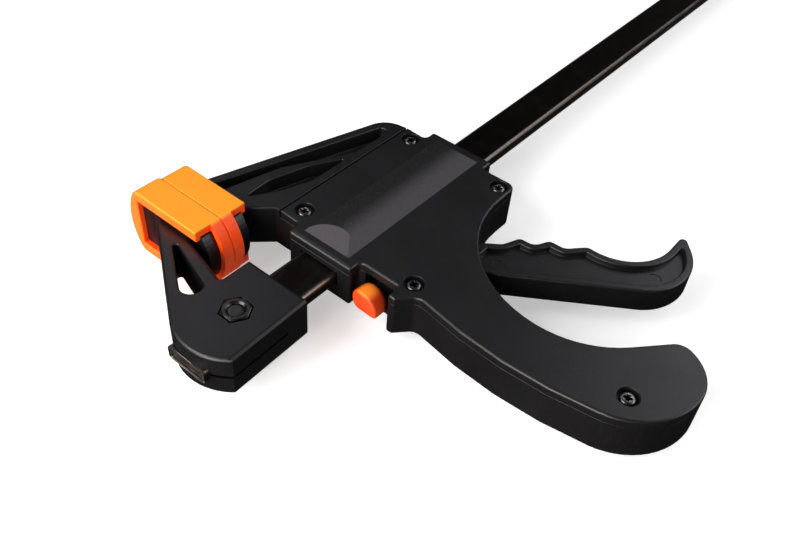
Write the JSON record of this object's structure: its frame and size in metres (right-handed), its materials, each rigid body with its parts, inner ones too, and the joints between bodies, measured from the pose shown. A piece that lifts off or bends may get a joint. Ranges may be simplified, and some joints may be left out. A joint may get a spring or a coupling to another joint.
{
  "type": "quick release bar clamp",
  "caption": "Trigger bar clamp lying on its side: steel bar, fixed jaw, sliding jaw with pistol grip, trigger, release button and soft orange pads.",
  "frame": {"origin": "on the bar's axis, in the plane where the two pads meet when the clamp is closed, halfway through the clamp's thickness", "axes": "+X along the bar from the fixed jaw to the bar's tail, +Y up the jaws towards the pads, +Z through the clamp's thickness and out of the cover"},
  "size_m": [0.4622, 0.2098, 0.0296],
  "materials": {
    "bar_steel": "satin black coating, rubbed at the edges",
    "jaw_plastic": "fine grained black nylon",
    "housing_plastic": "fine grained black nylon",
    "trigger_plastic": "fine grained black nylon",
    "pad_rubber": "smooth orange rubber",
    "button_plastic": "smooth orange plastic",
    "bolt_steel": "zinc plated",
    "nut_steel": "blackened",
    "screw_steel": "plated, slightly dark",
    "pin_steel": "ground",
    "spring_steel": "drawn wire",
    "plate_steel": "stamped plate",
    "label_film": "satin grey film, plain"
  },
  "bodies": {
    "bar": {"bar": "bar_steel", "fixed_jaw": "jaw_plastic", "jaw_bolt": "bolt_steel", "jaw_nut": "nut_steel", "fixed_pad": "pad_rubber", "stop_pin": "pin_steel"},
    "moving_jaw": {"housing_shell": "housing_plastic", "cover_plate": "housing_plastic", "cover_screw_1": "screw_steel", "cover_screw_2": "screw_steel", "cover_screw_3": "screw_steel", "cover_screw_4": "screw_steel", "cover_screw_5": "screw_steel", "label_plate": "label_film", "moving_pad": "pad_rubber", "trigger_pin": "pin_steel", "drive_spring": "spring_steel", "brake_spring": "spring_steel"},
    "trigger": {"trigger": "trigger_plastic"},
    "drive": {"drive_plate_front": "plate_steel", "drive_plate_rear": "plate_steel"},
    "release": {"brake_plate": "plate_steel", "release_button": "button_plastic"}
  },
  "joints": [
    {"name": "jaw_slide", "type": "slide", "parent": "bar", "child": "moving_jaw", "axis": [1, 0, 0], "range_m": [0, 0.3]},
    {"name": "trigger_squeeze", "type": "hinge", "parent": "moving_jaw", "child": "trigger", "pos_m": [0.051, -0.027, 0], "axis": [0, 0, -1], "range_deg": [0, 18], "stiffness_Nm_per_rad": 0.8, "springref_deg": -5.73},
    {"name": "drive_push", "type": "slide", "parent": "moving_jaw", "child": "drive", "axis": [1, 0, 0], "range_m": [0, 0.004], "deforming": ["drive_spring"]},
    {"name": "release_press", "type": "hinge", "parent": "moving_jaw", "child": "release", "pos_m": [0.0295, 0.0135, 0], "axis": [0, 0, 1], "range_deg": [0, 3.5], "stiffness_Nm_per_rad": 0.6, "springref_deg": -2.86, "deforming": ["brake_spring"]}
  ],
  "couplings": [
    {"joint": "drive_push", "follows": "trigger_squeeze", "m_per_rad": 0.01273}
  ]
}
